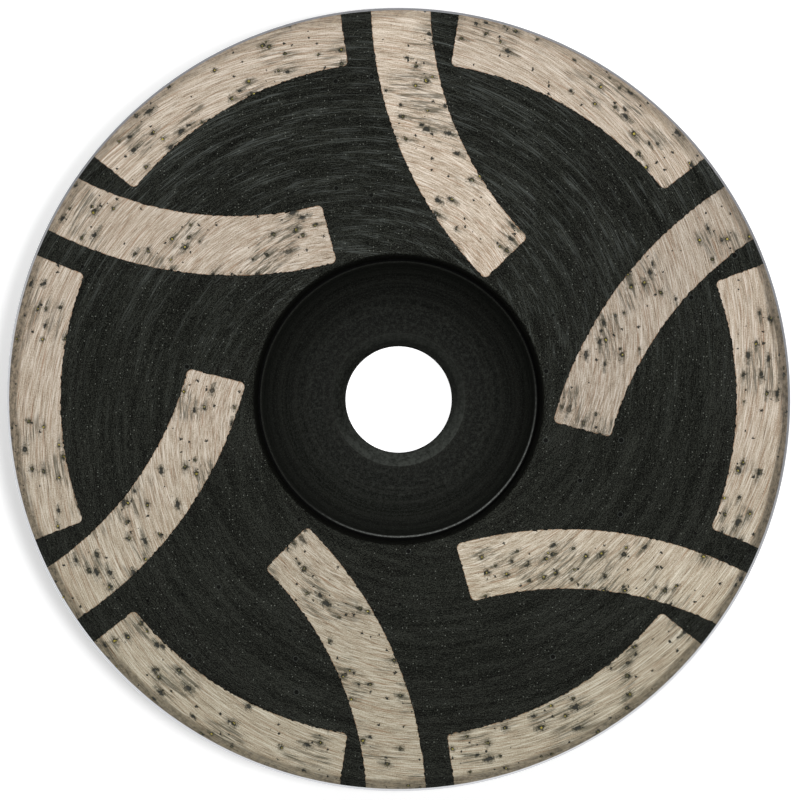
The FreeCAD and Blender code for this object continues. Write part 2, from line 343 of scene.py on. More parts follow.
def crowding(net, x, y):
    """From 0 to 1: in some parts of a segment the grains and smudges crowd, in others few lie."""
    return net.noise(net.join(x, y), scale=0.16, detail=1.0, dimensions="2D")


def grit(net, x, y):
    """Where grains lie: their pockets, tails, radii and centres, and which are still held."""
    (pick, size_pick, tail_pick), centre_x, centre_y = net.cells(x, y, GRIT_SPACING)
    kept = pick < net.blend(crowding(net, centre_x, centre_y), 0.42, 0.60, 0.05, 1.0)
    radius = net.blend(size_pick, 0.0, 1.0, *GRIT_RADII, smooth=False)
    off_x = x - centre_x
    off_y = y - centre_y
    ragged = net.noise(net.join(x, y), scale=2.6, dimensions="2D")

    # The way a scratch runs at the grain's own place
    centre_reach = net.length(centre_x, centre_y)
    lift = SCRATCH_CLIMB / centre_reach
    way_x = centre_x * lift - centre_y
    way_y = centre_y * lift + centre_x
    way = net.length(way_x, way_y)
    behind = (off_x * way_x + off_y * way_y) * -1.0 / way
    beside = net.math("ABSOLUTE", off_x * way_y - off_y * way_x) / way

    # The pocket and the halo round it, by the distance in radii, with a ragged edge
    drawn_out = net.length(behind * net.blend(tail_pick, 0.0, 1.0, 1.1, 0.6), beside * 1.1)
    uneven = drawn_out / radius * (ragged * 1.9 + 0.1)
    pocket = net.blend(uneven, 0.8, 1.75, 1.0, 0.0) * kept
    halo = net.blend(uneven, 0.9, 3.8, 1.0, 0.0)

    # The tail lies behind the grain only
    tail_length = net.blend(tail_pick, 0.0, 1.0, *TAIL_LENGTHS, smooth=False)
    tail = net.blend(behind / tail_length, 0.2, 1.2, 1.0, 0.0) * (behind > 0.0)
    tail = tail * net.blend(beside / radius, 0.3, 2.1, 1.0, 0.0)
    # The halo joins the tail, so the bond darkens round each pocket: painted shade. The tail behind
    # it is a stain.
    tail = net.math("MAXIMUM", tail, halo * 0.9) * kept
    return {"radius": radius, "pocket": pocket, "tail": tail,
            "held": kept * (tail_pick < HELD_SHARE), "x": centre_x, "y": centre_y}


# %% [markdown]
# Between the grains the bond has small pits. They need no direction, so a finer set of
# cells is enough: a random pick for each, its size, and how far its centre is. The resin's
# specks and bubbles are scattered the same way. Each set is shifted by its own amount, so
# no two of them line up.

# %% Scattered marks, and the pits
PIT_SPACING = 1.05
PIT_RADII = (0.05, 0.19)
PIT_SHARE = 0.13


def scattered(net, x, y, spacing):
    """Marks about spacing apart: two random numbers for each, and the way to its centre."""
    (pick, size_pick, _), centre_x, centre_y = net.cells(x, y, spacing)
    return pick, size_pick, net.length(x - centre_x, y - centre_y)


def pits(net, x, y):
    """Small dark pits between the grains, from 0 to 1."""
    pick, size_pick, gap = scattered(net, x + 37.0, y - 19.0, PIT_SPACING)
    ragged = net.noise(net.join(x, y), scale=5.0, detail=1.0, dimensions="2D")
    radius = net.blend(size_pick, 0.0, 1.0, *PIT_RADII, smooth=False)
    uneven = gap / radius * (ragged * 2.2 - 0.1)
    return net.blend(uneven, 0.7, 1.3, 1.0, 0.0) * (pick < PIT_SHARE)


# %% [markdown]
# ## Materials
# A shader reads the object's own coordinates, which are the frame's, so a pattern lies in
# the same place on every piece and stays there when the view changes.

# %% A material with its coordinates and its shader
def new_material(name, specular, roughness=0.5):
    material = bpy.data.materials.new(name)
    material.use_nodes = True
    net = Net(material.node_tree)
    shader = material.node_tree.nodes["Principled BSDF"]
    shader.inputs["Roughness"].default_value = roughness
    shader.inputs["Specular IOR Level"].default_value = specular
    return material, net, shader, net.object_place()


def add_bump(net, shader, height, depth):
    """Height from 0 to 1 stands for depth millimetres."""
    bump = net.node("ShaderNodeBump")
    bump.inputs["Strength"].default_value = 1.0
    bump.inputs["Distance"].default_value = depth * MM
    net.feed(bump.inputs["Height"], height)
    net.feed(shader.inputs["Normal"], bump.outputs[0])


# %% [markdown]
# **Segment bond.** Sintered bronze, ground pale, with streaks from cream to tan along the
# scratches. The bevel was only roughed, so it is duller, like the side below it.

# %% Segment bond
BOND_CREAM = paint(224, 213, 199)
BOND_LIGHT = paint(199, 186, 169)
BOND_MIDDLE = paint(180, 165, 146)
BOND_TAN = paint(155, 137, 116)
BOND_DARK = paint(98, 86, 71)
BURNT = paint(144, 108, 78)
SMEAR = paint(76, 71, 56)
POCKET = paint(28, 27, 19)
EDGE_TINT = paint(128, 88, 52)
SKIN_DARK = paint(50, 44, 34)
SKIN_LIGHT = paint(160, 144, 122)
OLIVE_PAINTED_SHADE = (0.88, 0.92, 0.86, 1.0)


def make_bond():
    material, net, shader, place = new_material("segment_bond_ground", specular=0.22)
    x, y, z = net.split(place)
    reach = net.length(x, y)
    open_face = ground(net, reach, z)

    # Streaks along the scratches, from cream to tan
    fine = scratches(net, x, y, width=0.07, length=2.0, detail=3.0, roughness=0.7)
    fine = (fine - 0.5) * open_face + 0.5
    crossing = scratches(net, x, y, width=0.14, length=2.0, climb=9.5)
    broad = scratches(net, x, y, width=0.55, length=7.0)
    lines = scratches(net, x, y, width=0.10, length=6.0, detail=1.0)
    bright = scratches(net, x + 3.0, y - 2.0, width=0.16, length=5.0, detail=1.0)
    grain = net.noise(place, scale=6.0, roughness=0.7)
    shade = fine * 0.46 + crossing * 0.16 + broad * 0.14 + grain * 0.24
    colour = net.ramp(shade, [(0.39, BOND_DARK), (0.445, BOND_TAN), (0.495, BOND_MIDDLE),
                              (0.545, BOND_LIGHT), (0.60, BOND_CREAM)])
    colour = net.colour(net.blend(lines, 0.58, 0.68, 0.0, 0.65), colour, BURNT)
    colour = net.colour(net.blend(bright, 0.59, 0.69, 0.0, 0.7), colour, BOND_CREAM)

    # Smudges, tails, pockets and pits
    patches = scratches(net, x, y, width=0.7, length=2.4, detail=4.0, roughness=0.75)
    crowded = net.blend(crowding(net, x, y), 0.48, 0.62, 0.10, 1.0)
    clouds = net.blend(patches, 0.45, 0.62, 0.0, 0.85) * crowded
    colour = net.colour(clouds, colour, SMEAR)
    grains = grit(net, x, y)
    small = pits(net, x, y)
    torn = net.noise(place, scale=3.0, detail=3.0, roughness=0.7)
    smear = grains["tail"] * net.blend(torn * 0.4 + fine * 0.6, 0.44, 0.58, 1.0, 0.4)
    colour = net.colour(smear, colour, SMEAR)
    holes = net.math("MAXIMUM", grains["pocket"], small)

    # A warm tint where the bond meets the resin
    edge = Number(net, net.node("ShaderNodeAttribute", attribute_name="edge_mm").outputs["Fac"])
    tint = net.blend(edge, 0.02, 0.15, 0.9, 0.0) * net.blend(torn, 0.42, 0.6, 0.15, 1.0)
    colour = net.colour(tint, colour, EDGE_TINT)

    # The dull skin of the bevel and the walls, with an edge that wanders, and painted light and
    # shade on the bevel
    wander = (broad - 0.5) * 1.8 + (fine - 0.5) * 1.0 + (torn - 0.5) * 0.5
    skin_and_painted_light = net.blend(reach + wander, BEVEL_START - 0.15, BEVEL_START + 0.35)
    # Less skin towards the top and the bottom of the picture, so the bevel is lighter there:
    # painted light.
    skin_and_painted_light = skin_and_painted_light * net.blend(y, 8.0, 36.0, 0.95, 0.5) * net.blend(y, -45.0, -20.0, 0.8, 1.0)
    skin_and_painted_light = net.math("MAXIMUM", skin_and_painted_light, 1.0 - open_face)
    skin_grain = net.noise(place, scale=1.6, detail=4.0, roughness=0.75)
    skin_grain = skin_grain * 0.5 + fine * 0.3 + broad * 0.2
    skin_grain = (skin_grain - 0.5) * (open_face * 0.55 + 0.45) + 0.5
    # The skin is darker towards the right: painted shade.
    skin_tone_and_painted_shade = net.blend(skin_grain, 0.38, 0.60) * net.blend(x, 20.0, 47.0, 1.0, 0.55)
    colour = net.colour(skin_and_painted_light, colour, net.colour(skin_tone_and_painted_shade, SKIN_DARK, SKIN_LIGHT))
    # Pockets and pits are painted near-black: painted shade in the hollows.
    colour = net.colour(holes * open_face, colour, POCKET)

    # Each segment's listed tone, partly its own and partly painted shade, and painted shade with an
    # olive tint towards the bottom of the picture
    tone = net.node("ShaderNodeAttribute", attribute_name="tone").outputs["Fac"]
    colour = net.colour(1.0, colour, net.join(tone, tone, tone), "MULTIPLY")
    # Darker and more olive towards the bottom of the picture: painted shade.
    olive_painted_shade = net.colour(1.0, colour, OLIVE_PAINTED_SHADE, "MULTIPLY")
    colour = net.colour(net.blend(y, -40.0, 5.0, 1.0, 0.0), colour, olive_painted_shade)
    net.feed(shader.inputs["Base Color"], colour)
    net.feed(shader.inputs["Roughness"], net.blend(fine, 0.3, 0.7, 0.62, 0.42))
    height = fine * 0.6 + broad * open_face * 0.25 - small * open_face * 0.6
    add_bump(net, shader, height + skin_grain * skin_and_painted_light * 1.4, 0.035)
    return material


bond = make_bond()
print("bond nodes:", len(bond.node_tree.nodes))

# %% [markdown]
# **Cast resin.** Almost black, with greyer scratches, pale specks of filler and a few
# bubbles that the grinding cut open, which leave small rings.

# %% Cast resin
RESIN = paint(17, 18, 15)
RESIN_DEEP = paint(3, 3, 2)
RESIN_GRAIN = paint(56, 58, 52)
RESIN_SCRATCH = paint(82, 86, 83)
FILLER = paint(158, 162, 152)
BUBBLE = paint(9, 9, 8)
FILLER_SPACING = 0.45
FILLER_SHARE = 0.2
BUBBLE_SPACING = 4.6
BUBBLE_SHARE = 0.34
BUBBLE_RADII = (0.12, 0.34)


def make_resin():
    material, net, shader, place = new_material("cast_resin_ground", specular=0.02)
    x, y, z = net.split(place)
    reach = net.length(x, y)
    open_face = ground(net, reach, z)

    # A black ground with fine scratches, and long pale ones shown towards the top of the picture: a
    # painted highlight on the scratches
    fine = scratches(net, x, y, width=0.08, length=0.4, detail=3.0, roughness=0.8)
    fine = (fine - 0.5) * open_face + 0.5
    crossing = scratches(net, x, y, width=0.13, length=1.6, climb=10.0)
    crossing = (crossing - 0.5) * open_face + 0.5
    broad = scratches(net, x, y, width=1.1, length=9.0)
    broad = (broad - 0.5) * open_face + 0.5
    lines = scratches(net, x, y, width=0.09, length=3.5) * open_face
    grain = net.noise(place, scale=6.5, roughness=0.8)
    shade = fine * 0.42 + crossing * 0.06 + grain * 0.42 + broad * 0.10
    colour = net.ramp(shade, [(0.43, RESIN_DEEP), (0.49, RESIN), (0.57, RESIN_GRAIN)])
    # The pale scratches fade out away from the top: painted highlight.
    highlight_towards_top = net.blend(y - net.math("ABSOLUTE", x) * 0.3, -20.0, 25.0, 0.1, 1.0)
    painted_scratch_highlight = net.blend(lines * 0.7 + broad * 0.3, 0.54, 0.66) * highlight_towards_top
    colour = net.colour(painted_scratch_highlight * 0.7, colour, RESIN_SCRATCH)

    # Specks of filler, and bubbles with a pale ring round each
    pick, size_pick, gap = scattered(net, x + 11.0, y + 5.0, FILLER_SPACING)
    speck = net.blend(gap, 0.02, 0.09, 1.0, 0.0) * (pick < FILLER_SHARE) * open_face
    colour = net.colour(speck * net.blend(size_pick, 0.3, 1.0, 0.02, 0.5), colour, FILLER)
    pick, size_pick, gap = scattered(net, x - 23.0, y + 41.0, BUBBLE_SPACING)
    hole = gap / net.blend(size_pick, 0.0, 1.0, *BUBBLE_RADII, smooth=False)
    there = (pick < BUBBLE_SHARE) * open_face
    bubble = net.blend(hole, 0.7, 1.0, 1.0, 0.0) * there
    ring = net.blend(net.math("ABSOLUTE", hole - 1.1), 0.0, 0.3, 1.0, 0.0) * there
    colour = net.colour(bubble * 0.85, colour, BUBBLE)
    colour = net.colour(ring * net.blend(size_pick, 0.3, 1.0, 0.0, 0.4), colour, RESIN_SCRATCH)

    # The wall of the well is painted near-black: painted shade on the deep, steep wall
    colour = net.colour((1.0 - open_face) * (reach < WELL_REACH) * 0.85, colour, RESIN_DEEP)
    net.feed(shader.inputs["Base Color"], colour)
    net.feed(shader.inputs["Roughness"], net.blend(fine, 0.3, 0.7, 0.6, 0.4))
    height = fine * 0.4 + lines * 0.4 + grain * 0.3 - bubble * 1.5
    add_bump(net, shader, height, 0.07)
    return material


resin = make_resin()
print("resin nodes:", len(resin.node_tree.nodes))

# %% [markdown]
# **Painted and bare steel.** The body is black, with a satin skin that still shows the
# rings that the lathe left. The rim was turned clean after the resin was cast, so it is
# bare. Rings are a noise that changes only with the radius and the height.

# %% Painted and bare steel
# Where its parts lie, in radius and height
CHAMFER_INNER = 7.0
CHAMFER_OUTER = 8.6
CHAMFER_LOW = 11.0
LIP_INNER = 17.50
LIP_OUTER = 19.0
LIP_LOW = 19.0
BARE_LOW = 16.9
# These paint colours are lifted a little to stand in for the paint's sheen, which the low specular
# level leaves out: painted sheen.
BLACK = paint(31, 32, 29)
BLACK_DEEP = paint(17, 18, 16)
DUST = paint(52, 54, 50)
CHAMFER_PAINTED_LIGHT = paint(68, 71, 67)
LIP_SHADE = paint(2, 2, 2)
LIP_HIGHLIGHT = paint(150, 153, 150)
BARE_DULL = paint(128, 129, 132)
BARE = paint(160, 161, 164)
BARE_REFLECTION = paint(214, 215, 218)


def make_steel():
    material, net, shader, place = new_material("painted_steel_turned", specular=0.01)
    x, y, z = net.split(place)
    reach = net.length(x, y)
    rings = net.noise(net.join(reach * 5.5, z * 5.5), roughness=0.7, dimensions="2D")
    wide_rings = net.noise(net.join(reach * 1.1, z * 1.1), detail=1.0, dimensions="2D")
    mottle = net.noise(place, scale=2.0, detail=4.0, roughness=0.7)
    colour = net.colour(net.blend(rings * 0.6 + wide_rings * 0.4, 0.35, 0.65), BLACK_DEEP, BLACK)

    # Dust that has settled in the dish, and painted light on the bore's chamfer
    settled = net.blend(mottle, 0.42, 0.68) * net.blend(reach, 11.0, 14.5, 0.7, 0.15)
    colour = net.colour(settled, colour, DUST)
    speckle = net.noise(place, scale=6.0, roughness=0.8)
    colour = net.colour(net.blend(speckle, 0.48, 0.68, 0.0, 0.6), colour, DUST)
    colour = net.colour(net.blend(speckle, 0.34, 0.50, 0.5, 0.0), colour, BLACK_DEEP)
    in_chamfer = (reach < CHAMFER_OUTER) * (reach > CHAMFER_INNER) * (z > CHAMFER_LOW)
    # The chamfer's lower side, and a little its upper right and outer edge, are painted lighter:
    # painted light, broken up by the mottle.
    chamfer_painted_light = net.blend(y - x * 0.2, -8.0, 1.0, 0.75, 0.0) * net.blend(mottle, 0.36, 0.6, 0.3, 1.0)
    chamfer_painted_light = chamfer_painted_light + net.blend(x + y, -2.0, 6.0, 0.0, 0.12)
    chamfer_painted_light = chamfer_painted_light + net.blend(reach, 7.7, 8.1, 0.0, 0.06)
    colour = net.colour(in_chamfer * chamfer_painted_light, colour, CHAMFER_PAINTED_LIGHT)

    # The lip of the dish: near-black beside the resin, painted shade, and a painted highlight on
    # its inner edge towards the lower right
    # Near-black beside the resin wall: painted shade.
    by_lip = net.blend(reach, LIP_INNER + 0.12, LIP_INNER + 0.22)
    by_lip = by_lip * (reach < LIP_OUTER) * (z > LIP_LOW)
    colour = net.colour(by_lip, colour, LIP_SHADE)
    # A bright line on the inner edge, on the lower right only: painted highlight.
    lip_highlight = net.blend(net.math("ABSOLUTE", reach - LIP_INNER), 0.04, 0.14, 1.0, 0.0)
    lip_highlight = lip_highlight * (z > LIP_LOW) * net.blend(x * 0.6 - y, 5.0, 20.0)
    lip_highlight = lip_highlight * net.blend(mottle, 0.35, 0.65, 0.4, 1.0)
    colour = net.colour(lip_highlight * 0.55, colour, LIP_HIGHLIGHT)

    # The rim outside the resin was turned clean, down to its lower chamfer, and is painted brighter
    # towards the bottom of the picture: a painted reflection
    turned = (reach > RING_RADIUS - 0.1) * (z > BARE_LOW)
    brushed_with_reflection = net.colour(net.blend(rings, 0.3, 0.7), BARE_DULL, BARE)
    # Brighter towards the bottom of the picture: painted reflection.
    rim_painted_reflection = net.blend(x * 0.35 + y, -25.0, 15.0, 1.0, 0.0)
    brushed_with_reflection = net.colour(rim_painted_reflection, brushed_with_reflection, BARE_REFLECTION)
    colour = net.colour(turned, colour, brushed_with_reflection)
    net.feed(shader.inputs["Base Color"], colour)
    net.feed(shader.inputs["Metallic"], turned * 0.85)
    net.feed(shader.inputs["Roughness"], net.blend(mottle, 0.3, 0.7, 0.40, 0.52))
    add_bump(net, shader, rings * 0.75 + wide_rings * 0.25, 0.014)
    return material


steel = make_steel()
print("steel nodes:", len(steel.node_tree.nodes))

# %% [markdown]
# **Diamond.** Synthetic grit is a yellow-green crystal. On this scale a clear yellow gloss
# reads better than real refraction, which would only show the dark pocket behind it.

# %% Diamond
DIAMOND_DARK = paint(30, 29, 17)
DIAMOND_OLIVE = paint(78, 74, 34)
DIAMOND_YELLOW = paint(174, 159, 66)


def make_diamond():
    material, net, shader, place = new_material("diamond_grit", specular=0.45, roughness=0.35)
    tone = net.noise(place, scale=1.7, detail=1.0)
    colour = net.ramp(tone, [(0.38, DIAMOND_DARK), (0.52, DIAMOND_OLIVE), (0.66, DIAMOND_YELLOW)])
    net.feed(shader.inputs["Base Color"], colour)
    return material


diamond = make_diamond()

# %% [markdown]
# ## The turned body
# On the lathe this is one profile swept about the axis, so it is made the same way here:
# a list of corners in radius and height, with the arcs as arcs, spun into a closed skin.
# The skin joins itself through the bore, so it has no seam and no pole.

# %% The body's profile
BORE_RADIUS = 6.93
BORE_LENGTH = 13.0
BORE_MOUTH = 1.6
BORE_LEAD = 0.7
LEAD_DEPTH = 0.55
BORE_BACK = 1.2
HUB_RADIUS = 17.0
HUB_CHAMFER = 1.0
HUB_FILLET = 6.0
RIM_LOW = 16.0
RIM_CHAMFER = 1.0
RIM_EDGE = 0.3
DISH_RADIUS = 17.45
DISH_WALL = math.radians(80)
DISH_CORNER = 6.8
LIP = 0.18
BORE_EDGE = 0.12
LEAD_EDGE = 0.1
HUB_EDGE = 0.15
CHAMFER_EDGE = 0.2
PLATE_EDGE = 0.1


def rounded(corners, step):
    """Points along a closed outline. A corner is radius, height and the size of its round."""
    count = len(corners)
    line = []
    for i, (across, up, size) in enumerate(corners):
        corner = Vector((across, up))
        if not size:
            line.append(corner)
            continue
        back = (Vector(corners[i - 1][:2]) - corner).normalized()
        ahead = (Vector(corners[(i + 1) % count][:2]) - corner).normalized()
        half = back.angle(ahead) / 2
        middle = corner + (back + ahead).normalized() * size / math.sin(half)
        first = corner + back * size / math.tan(half) - middle
        last = corner + ahead * size / math.tan(half) - middle
        sweep = math.pi - 2 * half
        pieces = max(3, round(size * sweep / step))
        for j in range(pieces + 1):
            share = j / pieces
            from_first = first * math.sin((1 - share) * sweep)
            from_last = last * math.sin(share * sweep)
            line.append(middle + (from_first + from_last) / math.sin(sweep))
    return line


def divided(line, step_at):
    """The same closed outline with its long runs cut into steps."""
    result = []
    for i, point in enumerate(line):
        following = line[(i + 1) % len(line)]
        run = following - point
        steps = max(1, math.ceil(run.length / step_at((point + following) / 2)))
        result += [point + run * (j / steps) for j in range(steps)]
    return result


DISH_FOOT = DISH_RADIUS - (PLATE_TOP - BORE_LENGTH) / math.tan(DISH_WALL)
body_corners = [
    (BORE_RADIUS, BORE_BACK, 0),
    (BORE_RADIUS + BORE_BACK, 0.0, BORE_EDGE),
    (HUB_RADIUS - HUB_CHAMFER, 0.0, HUB_EDGE),
    (HUB_RADIUS, HUB_CHAMFER, HUB_EDGE),
    (HUB_RADIUS, RIM_LOW, HUB_FILLET),
    (WHEEL_RADIUS - RIM_CHAMFER, RIM_LOW, CHAMFER_EDGE),
    (WHEEL_RADIUS, RIM_LOW + RIM_CHAMFER, CHAMFER_EDGE),
    (WHEEL_RADIUS, PLATE_TOP - RIM_EDGE, PLATE_EDGE),
    (WHEEL_RADIUS - RIM_EDGE, PLATE_TOP, PLATE_EDGE),
    (DISH_RADIUS + 0.02, PLATE_TOP, LIP),
    (DISH_FOOT, BORE_LENGTH, DISH_CORNER),
    (BORE_RADIUS + BORE_MOUTH, BORE_LENGTH, BORE_EDGE),
    (BORE_RADIUS + BORE_LEAD, BORE_LENGTH - LEAD_DEPTH, LEAD_EDGE),
    (BORE_RADIUS, BORE_LENGTH - BORE_MOUTH, 0),
]
THREAD_STEP = 0.11
PLAIN_STEP = 4.0
ARC_STEP = 0.35
COLUMNS = 192


def profile_step(point):
    """Short steps in the bore, where the thread is cut, and long ones elsewhere."""
    in_bore = point.x < BORE_RADIUS + 1.7 and 0.02 < point.y < BORE_LENGTH - 0.02
    return THREAD_STEP if in_bore else PLAIN_STEP


body_line = divided(rounded(body_corners, ARC_STEP), profile_step)
print("profile points:", len(body_line), "columns:", COLUMNS)


# %% [markdown]
# The spin itself puts the outline at equal turns round the axis and joins each copy to the
# next, the last one to the first, so no seam has to be merged afterwards.

# %% Spin the profile
def spin(name, line):
    """A closed skin: the closed outline carried once round the axis."""
    turns = np.linspace(0, 2 * math.pi, COLUMNS, endpoint=False)
    profile = np.array([(p.x, p.y) for p in line]) * MM
    rows = len(profile)
    points = np.stack([
        np.outer(np.cos(turns), profile[:, 0]),
        np.outer(np.sin(turns), profile[:, 0]),
        np.tile(profile[:, 1], (COLUMNS, 1)),
    ], axis=2).reshape(-1, 3)
    faces = []
    for i in range(COLUMNS):
        after = (i + 1) % COLUMNS
        for j in range(rows):
            up = (j + 1) % rows
            faces.append((i * rows + j, after * rows + j, after * rows + up, i * rows + up))
    mesh = bpy.data.meshes.new(name)
    mesh.from_pydata(points.tolist(), [], faces)
    mesh.polygons.foreach_set("use_smooth", [True] * len(mesh.polygons))
    return new_object(name, mesh)


body = spin("turned_body", body_line)

# %% [markdown]
# **The thread.** A tap cuts a groove that climbs by one pitch in each turn. Geometry Nodes
# move the wall of the bore outwards by that rule. How far round and how far up a point lies
# says where it is between one root and the next, and the chamfers at both ends win where
# they are wider.

# %% Cut the thread
THREAD_PITCH = 25.4 / 11
THREAD_ROOT = 15.875 / 2
THREAD_HALF_ANGLE = math.radians(30)
# Added so that the fraction is taken of a number above 0
WHOLE_TURNS = 100.0


def thread_tree():
    tree, net, entry, result = geometry_tree("cut_thread", [
        ("Pitch", "NodeSocketFloat"), ("Root radius", "NodeSocketFloat"),
        ("Crest radius", "NodeSocketFloat"), ("Steel", "NodeSocketMaterial")])
    pitch = Number(net, entry.outputs["Pitch"])
    root = Number(net, entry.outputs["Root radius"])
    crest = Number(net, entry.outputs["Crest radius"])
    x, y, z = net.point_place()
    reach = net.length(x, y)
    turn = net.math("ARCTAN2", y, x) / (2 * math.pi)
    between = net.math("FRACT", z / pitch - turn + WHOLE_TURNS)
    from_root = net.math("ABSOLUTE", between - 0.5) * pitch - pitch / 16
    groove = root - net.math("MAXIMUM", from_root, 0.0) / math.tan(THREAD_HALF_ANGLE)
    wall = net.math("MAXIMUM", net.math("MAXIMUM", groove, crest), reach)
    in_bore = (reach < BORE_RADIUS + BORE_MOUTH) * (z > 0.05) * (z < BORE_LENGTH - 0.05)
    push = wall / reach
    cut = net.move(entry.outputs["Geometry"], in_bore, Position=net.join(x * push, y * push, z))
    finish_tree(net, cut, entry.outputs["Steel"], result)
    return tree


apply_tree(body, thread_tree(), {
    "Pitch": THREAD_PITCH, "Root radius": THREAD_ROOT, "Crest radius": BORE_RADIUS, "Steel": steel})
body.data.set_sharp_from_angle(angle=math.radians(40))
finish_piece(body, "painted_steel", "cup_body")

# %% [markdown]
# ## The segments
# Each segment is pressed and sintered, so its outline is crisp but its face is worn. The
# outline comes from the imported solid. A fine net of points fills it, close enough together
# to hold a pocket, and every point gets its height by rule: level, then down the bevel.

# %% A fine mesh from a solid's own outline
NET_STEP = 0.15


def standing_outline(node):
    """The loop round the face that the node stands on, in millimetres."""
    shape = bmesh.new()
    shape.from_mesh(node.data)
    bmesh.ops.remove_doubles(shape, verts=shape.verts, dist=1e-7)
    foot = {f for f in shape.faces if max(v.co.z for v in f.verts) < (PLATE_TOP + 0.01) * MM}
    beside = {}
    for edge in shape.edges:
        if sum(face in foot for face in edge.link_faces) == 1:
            for vertex in edge.verts:
                beside.setdefault(vertex, []).append(edge.other_vert(vertex))
    start = next(iter(beside))
    loop, previous = [start], None
    while True:
        here = loop[-1]
        ahead = beside[here][0] if beside[here][0] is not previous else beside[here][1]
        if ahead is start:
            break
        previous = here
        loop.append(ahead)
    points = np.array([(v.co.x, v.co.y) for v in loop]) / MM
    shape.free()
    return points


# %% [markdown]
# The net of points has to know where the outline runs: which points lie inside it, and how
# far from it they are. Arrays answer this for all points at once, one side of the outline
# after another.

# %% Steps along an outline, and gaps to it
def evenly(points, step):
    """A closed loop of points cut into steps of about the same length."""
    result = []
    for here, ahead in zip(points, np.roll(points, -1, axis=0)):
        count = max(1, math.ceil(np.hypot(*(ahead - here)) / step))
        result += [here + (ahead - here) * (i / count) for i in range(count)]
    return np.array(result)


def inside_and_gap(points, loop):
    """For each point, whether it is inside the loop, and how far it is from it."""
    inside = np.zeros(len(points), bool)
    gap = np.full(len(points), 1e9)
    for a, b in zip(loop, np.roll(loop, -1, axis=0)):
        crosses = (a[1] > points[:, 1]) != (b[1] > points[:, 1])
        rise = b[1] - a[1] if b[1] != a[1] else 1e-12
        inside ^= crosses & (points[:, 0] < a[0] + (points[:, 1] - a[1]) / rise * (b[0] - a[0]))
        run = b - a
        share = np.clip(((points - a) @ run) / max(run @ run, 1e-12), 0, 1)
        gap = np.minimum(gap, np.hypot(*(points - a - share[:, None] * run).T))
    return inside, gap


# %% [markdown]
# Grinding breaks small chips out of the bond's edge. Two noises added together break it
# back here and there. The corners stay whole, and so does the side that follows the rim.

# %% Chip the top edge
DEEPEST_CHIP = 0.14
# For each noise, how fine it is and the level at which it is read
CHIP_NOISES = ((1.7, 0.0), (3.7, 7.0))


def chipped(rim):
    """The outline with its top edge broken back here and there."""
    along = np.roll(rim, -1, axis=0) - np.roll(rim, 1, axis=0)
    along /= np.hypot(*along.T)[:, None]
    turn = np.sum(rim[:, 0] * np.roll(rim[:, 1], -1) - rim[:, 1] * np.roll(rim[:, 0], -1))
    inward = np.stack([-along[:, 1], along[:, 0]], axis=1) * np.sign(turn)
    broken = np.array([
        sum(noise.noise(Vector((x * scale, y * scale, level))) for scale, level in CHIP_NOISES)
        for x, y in rim])
    broken = np.clip(broken * 0.17 + 0.02, 0.0, DEEPEST_CHIP)
    bend = 1.0 - np.sum(np.roll(along, 3, axis=0) * np.roll(along, -3, axis=0), axis=1)
    broken *= np.clip(1.0 - bend * 12.0, 0.0, 1.0)
    broken[np.hypot(*rim.T) > RING_RADIUS - 0.05] = 0.0
    return rim + inward * broken[:, None]


# %% [markdown]
# The block itself is a flat net, filled with triangles that are as even as the points
# allow. Its walls and its foot are plain. Each point also keeps how far it is from the
# outline, for the tint along the edge, and the segment's own tone.

# %% A segment's block
def fine_block(name, loop, tone):
    """A closed block over the outline: a net of points on top, plain walls and foot."""
    rim = evenly(loop, NET_STEP)
    worn_rim = chipped(rim)
    low, high = rim.min(0), rim.max(0)
    columns = np.arange(low[0], high[0], NET_STEP)
    rows = np.arange(low[1], high[1], NET_STEP * math.sqrt(3) / 2)
    net_x, net_y = np.meshgrid(columns, rows)
    net_x[1::2] += NET_STEP / 2
    cloud = np.stack([net_x.ravel(), net_y.ravel()], axis=1)
    inside, gap = inside_and_gap(cloud, loop)
    cloud = cloud[inside & (gap > NET_STEP * 0.5 + DEEPEST_CHIP + 0.02)]
    flat = [Vector(p) for p in np.concatenate([worn_rim, cloud])]
    ring = list(range(len(rim)))
    points, _, faces, *_ = geometry.delaunay_2d_cdt(flat, [], [ring], 1, 1e-6)
    reach = [p.length for p in points]
    top = [(p.x * MM, p.y * MM, (FACE - max(0.0, r - BEVEL_START)) * MM)
           for p, r in zip(points, reach)]
    foot = [(x * MM, y * MM, PLATE_TOP * MM) for x, y in rim]
    base = len(top)
    walls = [(i, base + i, base + (i + 1) % len(rim), (i + 1) % len(rim)) for i in ring]
    mesh = bpy.data.meshes.new(name)
    mesh.from_pydata(top + foot, [], list(faces) + walls + [[base + i for i in reversed(ring)]])
    _, edge = inside_and_gap(np.array([(p.x, p.y) for p in points]), loop)
    edge = np.concatenate([edge, np.zeros(len(rim))])
    for label, values in (("edge_mm", edge), ("tone", np.full(len(edge), tone))):
        layer = mesh.attributes.new(label, "FLOAT", "POINT")
        layer.data.foreach_set("value", values.astype(np.float32))
    shape = bmesh.new()
    shape.from_mesh(mesh)
    bmesh.ops.recalc_face_normals(shape, faces=shape.faces)
    open_edges = sum(not e.is_manifold for e in shape.edges)
    shape.to_mesh(mesh)
    shape.free()
    mesh.polygons.foreach_set("use_smooth", [True] * len(mesh.polygons))
    print(f"{name}: {len(points)} net points, {open_edges} open edges")
    return mesh


# %% [markdown]
# **Wear.** The tree below sinks each point of the face by the same rule for grains that
# the bond's material uses, so each dark pocket in the picture is a real hollow.

